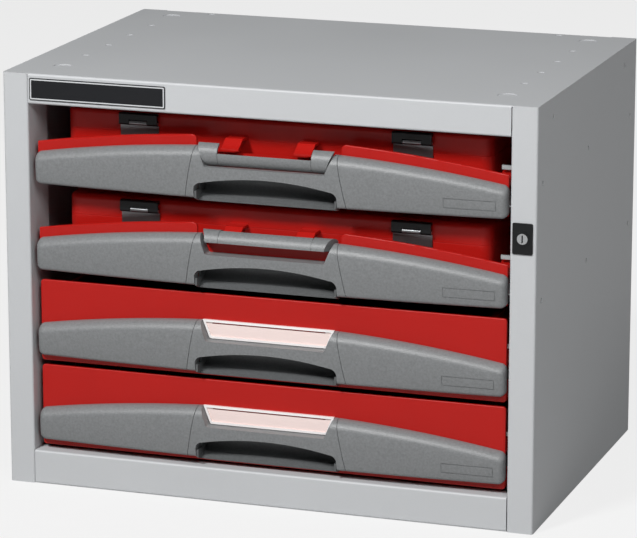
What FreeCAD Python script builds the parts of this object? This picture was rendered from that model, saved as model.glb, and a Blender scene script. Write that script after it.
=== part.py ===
import FreeCAD, Part
import math
import os
from types import SimpleNamespace

import Sketcher

# Tool cabinet: a folded sheet steel case, open at the front, that holds two lidded carrying cases
# above two drawers. All four have the same arched handle front.
# Frame: X to the right, Y to the back, Z up, in millimetres. The origin is the middle of the whole
# object's footprint. Every piece is drawn with y = 0 on the front face of the cabinet's frame, and
# the pieces of a case or drawer with z = 0 on its own underside.

# Driving sizes, each written once
SIZES = {
    # cabinet
    "cabinet_width": 520.0,
    "cabinet_depth": 360.0,
    "cabinet_height": 400.0,
    "sheet_thickness": 1.2,
    "bend_radius": 2.2,
    "stile_width": 25.0,
    "stile_return": 45.0,
    "top_rail_height": 29.0,
    "bottom_rail_height": 33.0,
    "rail_return": 20.0,
    "rear_flange": 15.0,
    "seam_gap": 0.35,
    "rivet_diameter": 4.0,
    "rivet_head_diameter": 8.0,
    "rivet_head_height": 1.2,
    "back_rivet_inset": 9.0,
    # pressed dimples in the top and holes in the sides
    "dimple_diameter": 18.0,
    "dimple_depth": 0.8,
    "dimple_side_inset": 42.0,
    "dimple_front": 45.0,
    "dimple_rear": 30.0,
    "small_dimple_diameter": 7.0,
    "small_dimple_depth": 0.6,
    "side_hole_diameter": 5.0,
    "side_hole_front": 18.0,
    "side_hole_rear": 22.0,
    "side_hole_low": 218.0,
    "side_hole_row_pitch": 109.0,
    "upper_hole_front": 51.0,
    "upper_hole_rear": 48.0,
    "upper_hole_height": 381.5,
    "rear_dimple_x": 183.0,
    "rear_dimple_inset": 9.0,
    "cut_margin": 1.0,
    # the four levels and their runners
    "first_level": 37.0,
    "level_pitch": 83.5,
    "unit_height": 79.0,
    "runner_sheet": 1.5,
    "runner_length": 300.0,
    "runner_setback": 47.0,
    "runner_flange": 18.0,
    "runner_step": 10.0,
    "runner_ledge": 12.0,
    "slide_clearance": 0.4,
    "side_clearance": 1.0,
    # tubs
    "tub_width": 417.0,
    "tub_wall": 2.5,
    "tub_corner": 11.0,
    "case_wall_front": 30.0,
    "case_rear": 350.0,
    "case_body_height": 57.7,
    "tub_edge": 4.0,
    "rim_bevel": 0.6,
    "lid_corner": 5.0,
    "lid_panel_rise": 1.5,
    "lid_panel_inset": 22.0,
    "tray_front": 28.0,
    "tray_rear": 354.0,
    "tray_height": 72.0,
    "tray_rim": 2.5,
    "tray_rim_height": 3.0,
    "divider_rib": 1.5,
    "divider_rib_gap": 2.0,
    "divider_pitch": 60.0,
    "divider_margin": 8.0,
    # handle front
    "grip_half_width": 231.0,
    "grip_end_bottom": 6.7,
    "grip_end_top": 36.4,
    "grip_crown": 19.0,
    "grip_belly": 1.7,
    "grip_setback": 1.0,
    "grip_bow": 3.5,
    "grip_back": 11.0,
    "grip_roll": 9.0,
    "grip_edge": 3.0,
    "grip_wall": 4.0,
    "grip_end_round": 6.0,
    "seam_top": 69.5,
    "seam_bottom": 79.0,
    "joint_gap": 0.5,
    "badge_length": 50.0,
    "badge_height": 9.6,
    "badge_inset": 9.5,
    "badge_bottom": 13.6,
    "badge_groove": 0.9,
    "badge_depth": 0.5,
    "recess_top": 66.0,
    "recess_bottom": 58.5,
    "recess_floor": 36.0,
    "hand_half_width": 70.0,
    "hand_side_top": 20.4,
    "hand_crown": 6.6,
    "hand_corner": 7.0,
    "pocket_rear": 27.0,
    "pocket_wall": 2.0,
    "pocket_top": 35.5,
    "pocket_lip": 3.6,
    "pocket_slope": 3.8,
    "pocket_bend": 12.0,
    "pocket_front": 9.0,
    "pocket_end_front": 1.0,
    "pocket_end_bottom": 5.0,
    "pocket_end_top": 12.0,
    "pocket_window_bottom": 2.4,
    "recess_corner": 2.0,
    "recess_corner_radius": 2.6,
    "recess_clearance": 0.6,
    # carrier and drawer front
    "carrier_thickness": 2.5,
    "carrier_bottom": 8.0,
    "lip_rise": 9.6,
    "lip_corner": 5.0,
    "carrier_bridge": 48.2,
    "lip_edge": 0.8,
    "front_rim": 8.0,
    "front_rim_wall": 2.0,
    "front_corner": 3.0,
    "boss_diameter": 12.0,
    "boss_inner": 100.0,
    "boss_outer": 194.0,
    "boss_height": 20.0,
    "screw_diameter": 4.0,
    "screw_length": 14.0,
    "screw_head_diameter": 8.0,
    "screw_head_height": 2.4,
    # middle flap of the cases, label window of the drawers
    "flap_axis_y": 8.6,
    "flap_axis_z": 47.0,
    "flap_radius": 11.0,
    "flap_shell": 2.5,
    "flap_foot_angle": 65.0,
    "flap_bar_angle": 12.0,
    "flap_ear_angle": 75.0,
    "flap_turn": 70.0,
    "flap_ear": 46.0,
    "flap_cheek": 56.0,
    "flap_groove": 0.6,
    "flap_groove_depth": 0.5,
    "trunnion_diameter": 2.4,
    "trunnion_length": 2.6,
    "fit_clearance": 0.08,
    "lug_inner": 27.0,
    "lug_outer": 44.0,
    "lug_reach": 4.4,
    "lug_tip_low": 4.5,
    "lug_tip_high": 6.4,
    "lug_root": 0.9,
    "lug_crest": 8.8,
    "lug_elbow": 7.6,
    "lug_arm": 2.5,
    "label_window_top": 54.4,
    "window_thickness": 2.2,
    "window_rim": 2.2,
    "window_field": 1.0,
    "window_slot": 1.6,
    "window_slot_half": 56.0,
    # draw clasps
    "clasp_centre": 134.0,
    "clasp_width": 38.0,
    "clasp_plate": 2.5,
    "clasp_top": 76.0,
    "clasp_axis_y": 26.0,
    "clasp_axis_z": 67.0,
    "clasp_barrel": 2.5,
    "clasp_pin": 2.4,
    "clasp_knuckle": 17.4,
    "clasp_hook": 3.0,
    "catch_rib": 2.4,
    "catch_rib_height": 3.0,
    "catch_gap": 0.6,
    "catch_rib_top": 73.0,
    "bracket_bottom": 43.0,
    "bracket_sheet": 1.6,
    # lid hinges
    "hinge_centre": 120.0,
    "hinge_half_length": 26.0,
    "hinge_knuckle": 20.0,
    "hinge_radius": 3.0,
    "hinge_pin": 2.5,
    "hinge_reach": 3.4,
    # lock
    "lock_x": 246.9,
    "lock_z": 278.5,
    "lock_plate_width": 19.0,
    "lock_plate_height": 29.0,
    "lock_plate_thickness": 1.6,
    "lock_plate_corner": 1.5,
    "lock_plate_bevel": 0.5,
    "lock_ring_height": 0.6,
    "lock_barrel_diameter": 14.0,
    "lock_barrel_length": 11.0,
    "lock_plug_diameter": 10.0,
    "plug_tail_diameter": 5.0,
    "plug_tail_head": 7.0,
    "plug_tail_head_height": 0.6,
    "plug_gap": 0.3,
    "key_slot_width": 1.6,
    "key_slot_height": 7.0,
    "key_slot_depth": 6.0,
    "lock_nut_width": 17.0,
    "lock_nut_thickness": 3.5,
    "cam_thickness": 2.0,
    "cam_radius": 5.5,
    "cam_pin_diameter": 3.0,
    "cam_hub": 10.0,
    "cam_arm_width": 5.6,
    "cam_clearance": 0.35,
    "bar_y": 14.5,
    "bar_thickness": 2.0,
    "bar_width": 10.0,
    "bar_side_gap": 0.8,
    "bar_overhang": 14.0,
    "finger_bottom": 50.5,
    "finger_height": 4.0,
    "finger_reach": 12.5,
    "bar_slot_clearance": 1.0,
    "guide_height": 12.0,
    "guide_wall": 3.0,
    "guide_clearance": 0.3,
    "lower_guide": 115.0,
    "upper_guide": 300.0,
    "catch_top": 48.0,
    "catch_floor": 38.5,
    "catch_width": 8.0,
    "catch_wall": 6.0,
    "catch_play": 1.6,
    # blank label plate on the top rail
    "label_plate_width": 136.0,
    "label_plate_height": 21.0,
    "label_plate_thickness": 0.8,
    "label_plate_corner": 1.5,
    "label_plate_inset": 27.0,
    "label_plate_drop": 4.0,
}

LEVELS = 4
LEFT = -1
RIGHT = 1

document = FreeCAD.newDocument("tool_cabinet")
sheet = document.addObject("Spreadsheet::Sheet", "Sizes")
for row, (alias, value) in enumerate(SIZES.items(), 1):
    sheet.set("A%d" % row, alias)
    sheet.set("B%d" % row, str(value))
    sheet.setAlias("B%d" % row, alias)
document.recompute()


class Length:
    """A length with its number and the sheet formula that gives it."""

    def __init__(self, number, formula=None):
        self.number = float(number)
        self.formula = formula or repr(float(number))

    def joined(self, sign, other, number):
        return Length(number, "(%s %s %s)" % (self.formula, sign, other.formula))

    def __add__(self, other):
        other = as_length(other)
        return self.joined("+", other, self.number + other.number)

    def __sub__(self, other):
        other = as_length(other)
        return self.joined("-", other, self.number - other.number)

    def __mul__(self, other):
        other = as_length(other)
        return self.joined("*", other, self.number * other.number)

    def __truediv__(self, other):
        other = as_length(other)
        return self.joined("/", other, self.number / other.number)

    def __radd__(self, other):
        return as_length(other) + self

    def __rsub__(self, other):
        return as_length(other) - self

    def __rmul__(self, other):
        return as_length(other) * self

    def __neg__(self):
        return as_length(0) - self


def as_length(value):
    return value if isinstance(value, Length) else Length(value)


def root(value):
    return Length(math.sqrt(value.number), "sqrt(%s)" % value.formula)


def sine(degrees):
    return Length(math.sin(math.radians(degrees.number)), "sin(%s)" % degrees.formula)


def cosine(degrees):
    return Length(math.cos(math.radians(degrees.number)), "cos(%s)" % degrees.formula)


size = SimpleNamespace(**{alias: Length(sheet.get(alias), "Sizes." + alias) for alias in SIZES})
nodes = []


def bind(thing, path, value):
    """Tie one property of an object to the sheet."""
    thing.setExpression(path, as_length(value).formula)


def place(thing, label, x=0, y=0, z=0):
    """Name a finished piece and set its place, which follows the sheet."""
    thing.Label = label
    for axis, value in (("x", x), ("y", y), ("z", z)):
        bind(thing, ".Placement.Base." + axis, value)
    nodes.append(thing)


def new_body(label, z=0):
    """An empty body whose y = 0 lies on the front face of the cabinet's frame."""
    body = document.addObject("PartDesign::Body", label)
    place(body, label, 0, frame_front, z)
    return body


# Outlines for sketches: a corner is (x, y), or (x, y, radius, turn) where an arc leaves it

def box(x_low, y_low, x_high, y_high):
    return [(x_low, y_low), (x_high, y_low), (x_high, y_high), (x_low, y_high)]


def rounded_box(x_low, y_low, x_high, y_high, radius):
    return [
        (x_low + radius, y_low), (x_high - radius, y_low, radius, "left"),
        (x_high, y_low + radius), (x_high, y_high - radius, radius, "left"),
        (x_high - radius, y_high), (x_low + radius, y_high, radius, "left"),
        (x_low, y_high - radius), (x_low, y_low + radius, radius, "left"),
    ]


def circle(x, y, radius):
    return SimpleNamespace(x=as_length(x), y=as_length(y), radius=as_length(radius))


def folded(path, thickness, bend, material):
    """The section of a sheet folded along a path of square corners.

    material is "left" or "right": the side of the path on which the sheet lies.
    bend is the outer radius of each fold.
    """
    side = 1 if material == "left" else -1
    points = [(as_length(x), as_length(y)) for x, y in path]
    headings = []
    for (x0, y0), (x1, y1) in zip(points, points[1:]):
        across = x1.number - x0.number
        along = y1.number - y0.number
        headings.append((round(math.copysign(1, across)), 0) if abs(across) > abs(along)
                        else (0, round(math.copysign(1, along))))
    normals = [(-side * dy, side * dx) for dx, dy in headings]
    first, last = points[0], points[-1]
    outward = [first]
    backward = []
    for index in range(1, len(points) - 1):
        (ix, iy), (ox, oy) = headings[index - 1], headings[index]
        turn = ix * oy - iy * ox
        near = bend if turn == side else bend - thickness
        far = bend - thickness if turn == side else bend
        x, y = points[index]
        outward.append((x - near * ix, y - near * iy, near, "left" if turn > 0 else "right"))
        outward.append((x + near * ox, y + near * oy))
        fx = x + thickness * (normals[index - 1][0] + normals[index][0])
        fy = y + thickness * (normals[index - 1][1] + normals[index][1])
        backward.append((fx - far * ix, fy - far * iy))
        backward.append((fx + far * ox, fy + far * oy, far, "right" if turn > 0 else "left"))
    outward.append(last)
    outward.append((last[0] + thickness * normals[-1][0], last[1] + thickness * normals[-1][1]))
    outward.extend(reversed(backward))
    outward.append((first[0] + thickness * normals[0][0], first[1] + thickness * normals[0][1]))
    return outward


def arc_between(start, end, radius, turn):
    """A circle's minor arc between two points, as sketch geometry that runs anticlockwise."""
    if turn == "right":
        start, end = end, start
    chord = end - start
    middle = (start + end) / 2
    rise = math.sqrt(max(radius ** 2 - (chord.Length / 2) ** 2, 0))
    inward = FreeCAD.Vector(-chord.y, chord.x, 0).normalize()
    centre = middle + inward * rise
    full = Part.Circle(centre, FreeCAD.Vector(0, 0, 1), radius)
    angles = [math.atan2(point.y - centre.y, point.x - centre.x) for point in (start, end)]
    return Part.ArcOfCircle(full, angles[0], angles[1])


def draw(body, plane, outlines, height):
    """A sketch parallel to one of the body's planes, with every corner tied to the sheet."""
    sketch = body.newObject("Sketcher::SketchObject", body.Name + "_sketch")
    support = [item for item in body.Origin.OriginFeatures if item.Role == plane + "_Plane"][0]
    sketch.AttachmentSupport = (support, [""])
    sketch.MapMode = "FlatFace"
    bind(sketch, ".AttachmentOffset.Base.z", -height if plane == "XZ" else height)
    geometry = []
    rules = []
    formulas = []

    def fix(kind, index, position, value):
        formulas.append((len(rules), value))
        rules.append(Sketcher.Constraint(kind, -1, 1, index, position, value.number))

    for outline in outlines:
        first = len(geometry)
        if isinstance(outline, SimpleNamespace):
            centre = FreeCAD.Vector(outline.x.number, outline.y.number, 0)
            geometry.append(Part.Circle(centre, FreeCAD.Vector(0, 0, 1), outline.radius.number))
            fix("DistanceX", first, 3, outline.x)
            fix("DistanceY", first, 3, outline.y)
            formulas.append((len(rules), outline.radius))
            rules.append(Sketcher.Constraint("Radius", first, outline.radius.number))
            continue
        corners = [(as_length(corner[0]), as_length(corner[1])) + tuple(corner[2:]) for corner in outline]
        points = [FreeCAD.Vector(corner[0].number, corner[1].number, 0) for corner in corners]
        ends = []
        for index, corner in enumerate(corners):
            start, end = points[index], points[(index + 1) % len(points)]
            if len(corner) == 4:
                geometry.append(arc_between(start, end, as_length(corner[2]).number, corner[3]))
                ends.append((1, 2) if corner[3] == "left" else (2, 1))
            else:
                geometry.append(Part.LineSegment(start, end))
                ends.append((1, 2))
        for index, corner in enumerate(corners):
            after = (index + 1) % len(corners)
            rules.append(Sketcher.Constraint("Coincident", first + index, ends[index][1],
                                             first + after, ends[after][0]))
            fix("DistanceX", first + index, ends[index][0], corner[0])
            fix("DistanceY", first + index, ends[index][0], corner[1])
            if len(corner) == 4:
                radius = as_length(corner[2])
                formulas.append((len(rules), radius))
                rules.append(Sketcher.Constraint("Radius", first + index, radius.number))
    sketch.addGeometry(geometry, False)
    sketch.addConstraint(rules)
    for index, value in formulas:
        bind(sketch, "Constraints[%d]" % index, value)
    return sketch


def pad(body, plane, outlines, low, high):
    """Material between two heights over outlines on a plane."""
    feature = body.newObject("PartDesign::Pad", body.Name + "_pad")
    feature.Profile = draw(body, plane, outlines, as_length(low))
    feature.Reversed = plane == "XZ"
    bind(feature, "Length", as_length(high) - low)
    return feature


def pocket(body, plane, outlines, low, high):
    """A cut between two heights over outlines on a plane."""
    feature = body.newObject("PartDesign::Pocket", body.Name + "_pocket")
    feature.Profile = draw(body, plane, outlines, as_length(low))
    feature.Reversed = plane != "XZ"
    bind(feature, "Length", as_length(high) - low)
    cuts.append((body, feature))
    return feature


def soften(body, radius, wanted, kind="Fillet"):
    """Round or bevel the edges whose middle passes the test."""
    document.recompute()
    base = body.Tip
    names = []
    for number, edge in enumerate(base.Shape.Edges, 1):
        middle = edge.valueAt((edge.FirstParameter + edge.LastParameter) / 2)
        if wanted(middle, edge):
            names.append("Edge%d" % number)
    if not names:
        raise RuntimeError("no edge to soften on " + body.Label)
    feature = body.newObject("PartDesign::" + kind, body.Name + "_" + kind.lower())
    feature.Base = (base, names)
    bind(feature, "Size" if kind == "Chamfer" else "Radius", radius)
    body.Tip = feature
    return feature


def close(one, other, slack=0.02):
    return abs(one - as_length(other).number) < slack


def group(label, solids, z=0):
    """Like pieces that share one node, each a solid of its own."""
    together = document.addObject("Part::Compound", label)
    together.Links = solids
    place(together, label, 0, frame_front, z)
    return together


def rod(name, start, direction, radius, long):
    """A round bar from a point along X or Y."""
    bar = document.addObject("Part::Cylinder", name)
    bind(bar, "Radius", radius)
    bind(bar, "Height", long)
    turn = FreeCAD.Rotation(FreeCAD.Vector(0, 0, 1), FreeCAD.Vector(*direction))
    bar.Placement = FreeCAD.Placement(FreeCAD.Vector(), turn)
    for axis, value in zip("xyz", start):
        bind(bar, ".Placement.Base." + axis, value)
    return bar


cuts = []

# Places that several pieces share
half_width = size.cabinet_width / 2
sheet_thick = size.sheet_thickness
opening_half = half_width - size.stile_width
inner_half = half_width - sheet_thick
back_face = size.cabinet_depth - sheet_thick
bend_inside = size.bend_radius - sheet_thick
forward = size.grip_bow - size.grip_setback
frame_front = (forward - size.cabinet_depth - size.rivet_head_height) / 2
crown_radius = (size.grip_half_width * size.grip_half_width + size.grip_crown * size.grip_crown) / (
    2 * size.grip_crown)
belly_radius = (size.grip_half_width * size.grip_half_width + size.grip_belly * size.grip_belly) / (
    2 * size.grip_belly)
bow_radius = (size.grip_half_width * size.grip_half_width + size.grip_bow * size.grip_bow) / (
    2 * size.grip_bow)
grip_top = size.grip_end_top + size.grip_crown
grip_bottom = size.grip_end_bottom - size.grip_belly
carrier_back = size.grip_back + size.carrier_thickness
tub_half = size.tub_width / 2
front_half = size.grip_half_width - size.grip_setback
window_half = size.hand_half_width + size.joint_gap
window_top = size.pocket_top + size.joint_gap
bar_left = opening_half + sheet_thick + size.bar_side_gap
bar_back = size.bar_y + size.bar_thickness
# the pin swings an eighth of a turn above and below the level of the lock's axis
pin_x = size.lock_x - size.cam_radius * math.sqrt(0.5)
pin_z = size.lock_z + size.cam_radius * math.sqrt(0.5)
bar_travel = 2 * size.cam_radius * math.sqrt(0.5)


def level_base(level):
    """Underside of the unit at a level, counted from the bottom."""
    return size.first_level + size.level_pitch * level


def crown_at(x, rise=0):
    """Height of the arched top edge at a distance from the middle."""
    return grip_top + rise - crown_radius + root(crown_radius * crown_radius - x * x)


def belly_at(x):
    """Height of the sagging bottom edge at a distance from the middle."""
    return grip_bottom + belly_radius - root(belly_radius * belly_radius - x * x)


def bow_at(x):
    """Front of the handle, in plan, at a distance from the middle."""
    return bow_radius - forward - root(bow_radius * bow_radius - x * x)


def span(side, near, far):
    """Low and high x of a stretch that lies between two distances from the middle."""
    return (near, far) if side == RIGHT else (-as_length(far), -as_length(near))


def sided(outline, side):
    """An outline drawn for the right side, mirrored where the piece is on the left."""
    if side == RIGHT:
        return outline
    if isinstance(outline, SimpleNamespace):
        return circle(-outline.x, outline.y, outline.radius)
    opposite = {"left": "right", "right": "left"}
    mirrored = []
    for corner in outline:
        arc = (corner[2], opposite[corner[3]]) if len(corner) == 4 else ()
        mirrored.append((-as_length(corner[0]), corner[1]) + arc)
    return mirrored


# Cabinet

def rivet_places():
    """Rivets of the back panel, as places on the rear flanges."""
    low = size.back_rivet_inset
    high = size.cabinet_height - size.back_rivet_inset
    beside = half_width - size.back_rivet_inset
    places = [(side * half_width / 2, level) for side in (LEFT, RIGHT) for level in (low, high)]
    for step in (1, 2, 3):
        places.extend((side * beside, size.cabinet_height * step / 4) for side in (LEFT, RIGHT))
    return places


def rivet_holes():
    return [circle(x, z, size.rivet_diameter / 2 + size.fit_clearance) for x, z in rivet_places()]


def drill_flanges(body, wanted):
    """Rivet holes through the rear flange that this panel carries."""
    holes = [hole for hole in rivet_holes() if wanted(hole)]
    pocket(body, "XZ", holes, back_face - size.cut_margin, size.cabinet_depth + size.cut_margin)


def side_panel(label, side):
    """Side wall, front stile and its return, folded from one sheet."""
    body = new_body(label)
    path = [
        (side * opening_half, size.stile_return),
        (side * opening_half, 0),
        (side * half_width, 0),
        (side * half_width, size.cabinet_depth),
        (side * (half_width - size.rear_flange), size.cabinet_depth),
    ]
    section = folded(path, sheet_thick, size.bend_radius, "right" if side == LEFT else "left")
    pad(body, "XY", [section], 0, size.cabinet_height - sheet_thick)
    first = size.side_hole_front
    last = size.cabinet_depth - size.side_hole_rear
    radius = size.side_hole_diameter / 2
    holes = [circle(y, size.side_hole_low + size.side_hole_row_pitch * line, radius)
             for y in (first, (first + last) / 2, last) for line in (0, 1)]
    holes.extend(circle(y, size.upper_hole_height, radius)
                 for y in (size.upper_hole_front, size.cabinet_depth - size.upper_hole_rear))
    pocket(body, "YZ", holes, *span(side, inner_half - size.cut_margin, half_width + size.cut_margin))
    drill_flanges(body, lambda hole: hole.x.number * side > opening_half.number)
    if side == RIGHT:
        barrel_hole = circle(size.lock_x, size.lock_z, size.lock_barrel_diameter / 2 + size.fit_clearance)
        pocket(body, "XZ", [barrel_hole], -size.cut_margin, sheet_thick + size.cut_margin)
        slots = []
        for level in range(LEVELS):
            finger = level_base(level) + size.finger_bottom
            play = size.bar_slot_clearance
            slots.append(box(size.bar_y - play, finger - bar_travel - play, bar_back + play,
                             finger + size.finger_height + play))
        pocket(body, "YZ", slots, opening_half - size.cut_margin,
               opening_half + sheet_thick + size.cut_margin)


def top_panel():
    """Top sheet with its front rail and rear flange, and the pressed dimples."""
    body = new_body("top_panel")
    height = size.cabinet_height
    rail_half = opening_half - size.seam_gap
    path = [
        (size.rail_return, height - size.top_rail_height),
        (0, height - size.top_rail_height),
        (0, height),
        (size.cabinet_depth, height),
        (size.cabinet_depth, height - size.rear_flange),
    ]
    pad(body, "YZ", [folded(path, sheet_thick, size.bend_radius, "right")], -rail_half, rail_half)
    edges = [sided(box(rail_half, 0, half_width, size.cabinet_depth), side) for side in (LEFT, RIGHT)]
    pad(body, "XY", edges, height - sheet_thick, height)
    drill_flanges(body, lambda hole: hole.y.number > height.number - size.rear_flange.number)
    large, small = dimples()
    for places, diameter, depth in (
        (large, size.dimple_diameter, size.dimple_depth),
        (small, size.small_dimple_diameter, size.small_dimple_depth),
    ):
        pads = [circle(x, y, diameter / 2 + sheet_thick / 2) for x, y in places]
        pad(body, "XY", pads, height - sheet_thick - depth, height - sheet_thick)
        pocket(body, "XY", [circle(x, y, diameter / 2) for x, y in places], height - depth, height)
    soften(body, size.bend_radius, lambda middle, edge: close(abs(middle.x), half_width)
           and (close(middle.y, 0) or close(middle.y, size.cabinet_depth)))


def dimples():
    """Places and radii of the large and the small pressed dimples in the top."""
    across = half_width - size.dimple_side_inset
    first = size.dimple_front
    last = size.cabinet_depth - size.dimple_rear
    large = [(side * across, y) for side in (LEFT, RIGHT) for y in (first, last)]
    small = [(side * across, first + (last - first) * step / 5) for side in (LEFT, RIGHT)
             for step in (1, 2, 3, 4)]
    small.extend((side * size.rear_dimple_x, size.cabinet_depth - size.rear_dimple_inset)
                 for side in (LEFT, RIGHT))
    return large, small


def bottom_panel():
    """Bottom sheet with its front rail and rear flange, welded between the side walls."""
    body = new_body("bottom_panel")
    path = [
        (size.cabinet_depth, size.rear_flange),
        (size.cabinet_depth, 0),
        (0, 0),
        (0, size.bottom_rail_height),
        (size.rail_return, size.bottom_rail_height),
    ]
    rail_half = opening_half - size.seam_gap
    pad(body, "YZ", [folded(path, sheet_thick, size.bend_radius, "right")], -rail_half, rail_half)
    strip = box(rail_half, size.stile_return + size.seam_gap, inner_half, back_face - bend_inside)
    pad(body, "XY", [sided(strip, side) for side in (LEFT, RIGHT)], 0, sheet_thick)
    drill_flanges(body, lambda hole: hole.y.number < size.rear_flange.number)


def back_panel():
    """Flat sheet inside the rear flanges."""
    body = new_body("back_panel")
    edge = inner_half - bend_inside - size.seam_gap
    low = sheet_thick + bend_inside + size.seam_gap
    pad(body, "XZ", [box(-edge, low, edge, size.cabinet_height - low)], back_face - sheet_thick, back_face)
    pocket(body, "XZ", rivet_holes(), back_face - sheet_thick - size.cut_margin, back_face + size.cut_margin)


def back_rivets():
    """Blind rivets with a domed head behind and a set head inside."""
    body = new_body("back_rivets")
    inside = back_face - sheet_thick
    for radius, low, high in (
        (size.rivet_diameter / 2, inside, size.cabinet_depth),
        (size.rivet_head_diameter / 2, size.cabinet_depth, size.cabinet_depth + size.rivet_head_height),
        (size.rivet_diameter * 3 / 4, inside - size.rivet_head_height, inside),
    ):
        pad(body, "XZ", [circle(x, z, radius) for x, z in rivet_places()], low, high)
    soften(body, size.rivet_head_height / 2, lambda middle, edge: close(
        middle.y, size.cabinet_depth + size.rivet_head_height))


def runners(label, side):
    """Four stepped runners on a side wall: each guides a tub's side and carries its underside."""
    body = new_body(label)
    guide = tub_half + size.side_clearance
    for level in range(LEVELS):
        base = level_base(level)
        ledge = base - size.slide_clearance
        path = [
            (side * inner_half, base + size.runner_step - size.runner_flange),
            (side * inner_half, base + size.runner_step),
            (side * guide, base + size.runner_step),
            (side * guide, ledge),
            (side * (guide - size.runner_ledge), ledge),
        ]
        section = folded(path, size.runner_sheet, size.bend_radius, "right" if side == LEFT else "left")
        pad(body, "XZ", [section], size.runner_setback, size.runner_setback + size.runner_length)


def label_plate():
    """Blank plate on the top rail."""
    body = new_body("label_plate")
    left = size.label_plate_inset - half_width
    top = size.cabinet_height - size.label_plate_drop
    outline = rounded_box(left, top - size.label_plate_height, left + size.label_plate_width, top,
                          size.label_plate_corner)
    pad(body, "XZ", [outline], -size.label_plate_thickness, 0)


def lock_circle(diameter):
    return circle(size.lock_x, size.lock_z, diameter / 2)


def lock_plate():
    """Moulded plate and threaded barrel of the lock, one piece."""
    body = new_body("lock_plate")
    half_wide = size.lock_plate_width / 2
    half_high = size.lock_plate_height / 2
    outline = rounded_box(size.lock_x - half_wide, size.lock_z - half_high, size.lock_x + half_wide,
                          size.lock_z + half_high, size.lock_plate_corner)
    front = -size.lock_plate_thickness
    pad(body, "XZ", [outline], front, 0)
    soften(body, size.lock_plate_bevel, lambda middle, edge: close(middle.y, front), "Chamfer")
    pad(body, "XZ", [lock_circle(size.lock_barrel_diameter)], front - size.lock_ring_height,
        size.lock_barrel_length)
    bore = lock_circle(size.lock_plug_diameter + 2 * size.fit_clearance)
    pocket(body, "XZ", [bore], front - size.lock_ring_height - size.cut_margin,
           size.lock_barrel_length + size.cut_margin)


def lock_plug():
    """Key plug with the tail that carries the cam."""
    body = new_body("lock_plug")
    front = -size.lock_plate_thickness - size.plug_gap
    cam_front = size.lock_barrel_length + size.plug_gap
    cam_rear = cam_front + size.cam_thickness
    pad(body, "XZ", [lock_circle(size.lock_plug_diameter)], front, cam_front)
    pad(body, "XZ", [lock_circle(size.plug_tail_diameter)], cam_front, cam_rear)
    pad(body, "XZ", [lock_circle(size.plug_tail_head)], cam_rear, cam_rear + size.plug_tail_head_height)
    slot = box(size.lock_x - size.key_slot_width / 2, size.lock_z - size.key_slot_height / 2,
               size.lock_x + size.key_slot_width / 2, size.lock_z + size.key_slot_height / 2)
    pocket(body, "XZ", [slot], front, front + size.key_slot_depth)


def lock_nut():
    """Hexagon nut behind the stile."""
    body = new_body("lock_nut")
    flat = size.lock_nut_width / 2
    corner = size.lock_nut_width / math.sqrt(3)
    outline = [(size.lock_x + flat * across, size.lock_z + corner * up)
               for across, up in ((0, -1), (1, -0.5), (1, 0.5), (0, 1), (-1, 0.5), (-1, -0.5))]
    pad(body, "XZ", [outline], sheet_thick, sheet_thick + size.lock_nut_thickness)
    pocket(body, "XZ", [lock_circle(size.lock_barrel_diameter)], sheet_thick,
           sheet_thick + size.lock_nut_thickness)


def lock_cam():
    """Cam on the plug's tail, with the pin that moves the lock bar."""
    body = new_body("lock_cam")
    front = size.lock_barrel_length + size.plug_gap
    rear = front + size.cam_thickness
    arm = size.cam_arm_width / 2 * math.sqrt(0.5)
    strip = [
        (size.lock_x + arm, size.lock_z + arm), (pin_x + arm, pin_z + arm),
        (pin_x - arm, pin_z - arm), (size.lock_x - arm, size.lock_z - arm),
    ]
    pad(body, "XZ", [lock_circle(size.cam_hub)], front, rear)
    pad(body, "XZ", [strip], front, rear)
    pad(body, "XZ", [circle(pin_x, pin_z, size.cam_arm_width / 2)], front, rear)
    pad(body, "XZ", [circle(pin_x, pin_z, size.cam_pin_diameter / 2)], rear, bar_back + size.cut_margin)
    pocket(body, "XZ", [lock_circle(size.plug_tail_diameter)], front - size.cut_margin,
           rear + size.cut_margin)


def lock_bar():
    """Flat bar behind the right stile, with one finger for each level."""
    body = new_body("lock_bar")
    tip = opening_half - size.finger_reach
    low = level_base(0) + size.finger_bottom - size.bar_overhang
    high = level_base(LEVELS - 1) + size.finger_bottom + size.finger_height + size.bar_overhang
    outline = [(bar_left, low), (bar_left + size.bar_width, low), (bar_left + size.bar_width, high),
               (bar_left, high)]
    for level in reversed(range(LEVELS)):
        finger = level_base(level) + size.finger_bottom
        outline.extend([(bar_left, finger + size.finger_height), (tip, finger + size.finger_height),
                        (tip, finger), (bar_left, finger)])
    pad(body, "XZ", [outline], size.bar_y, bar_back)
    reach = size.cam_pin_diameter / 2 + size.cam_clearance
    slot = box(size.lock_x - size.cam_radius - reach, pin_z - reach, pin_x + reach, pin_z + reach)
    pocket(body, "XZ", [slot], size.bar_y - size.cut_margin, bar_back + size.cut_margin)


def lock_bar_guides():
    """Two guides on the stile's return, in which the lock bar slides."""
    body = new_body("lock_bar_guides")
    wall = opening_half + sheet_thick
    front = size.bar_y - size.guide_clearance
    rear = bar_back + size.guide_clearance
    right = bar_left + size.bar_width + size.guide_clearance
    outline = [
        (wall, front - size.guide_wall), (right + size.guide_wall, front - size.guide_wall),
        (right + size.guide_wall, rear + size.guide_wall), (wall, rear + size.guide_wall),
        (wall, rear), (right, rear), (right, front), (wall, front),
    ]
    for low in (size.lower_guide, size.upper_guide):
        pad(body, "XY", [outline], low, low + size.guide_height)


def cabinet():
    side_panel("left_side_panel", LEFT)
    side_panel("right_side_panel", RIGHT)
    top_panel()
    bottom_panel()
    back_panel()
    back_rivets()
    runners("left_runners", LEFT)
    runners("right_runners", RIGHT)
    label_plate()
    lock_plate()
    lock_plug()
    lock_nut()
    lock_cam()
    lock_bar()
    lock_bar_guides()


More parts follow.
